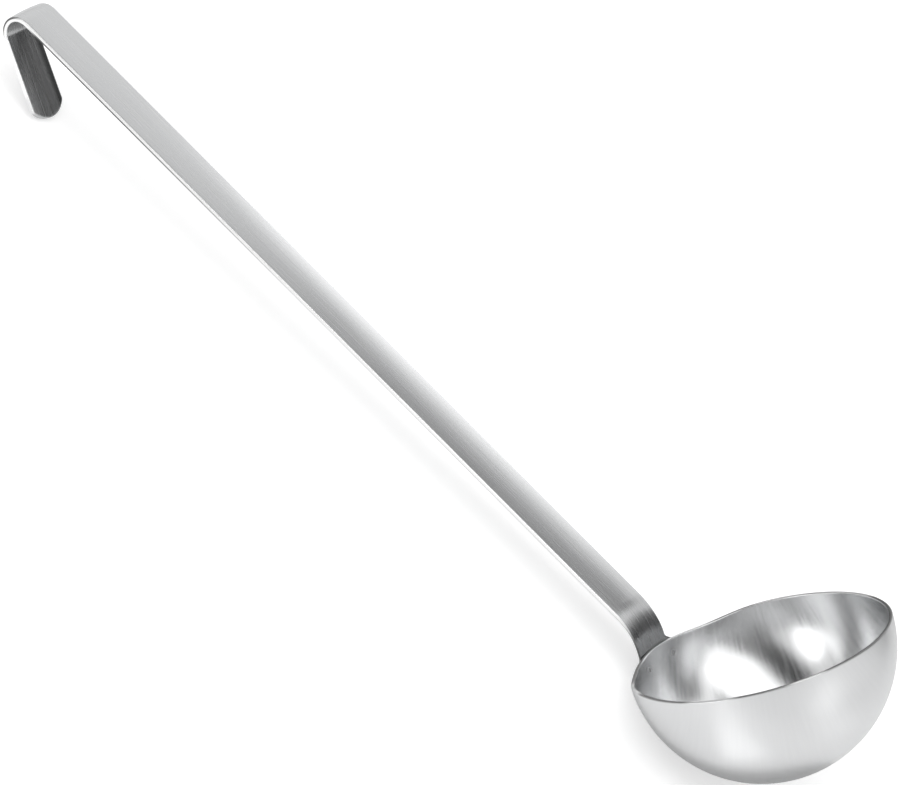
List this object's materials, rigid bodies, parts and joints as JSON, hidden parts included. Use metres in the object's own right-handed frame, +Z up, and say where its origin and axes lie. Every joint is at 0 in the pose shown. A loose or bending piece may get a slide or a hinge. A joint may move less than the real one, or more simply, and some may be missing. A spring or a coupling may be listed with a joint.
{
  "type": "serving ladle",
  "caption": "Serving ladle: a hemispherical steel bowl spot-welded to a long flat strap handle that ends in a hanging hook.",
  "frame": {"origin": "middle of the ladle's footprint on the table it lies on, at table level", "axes": "+X along the handle from the hook towards the bowl, +Y across the strap, +Z up from the table"},
  "size_m": [0.4342, 0.1, 0.0875],
  "materials": {
    "bowl_steel": "polished",
    "handle_steel": "brushed along the strap",
    "weld_steel": "fused"
  },
  "bodies": {
    "root": {"bowl": "bowl_steel", "handle": "handle_steel", "spot_weld_near": "weld_steel", "spot_weld_far": "weld_steel"}
  },
  "joints": []
}
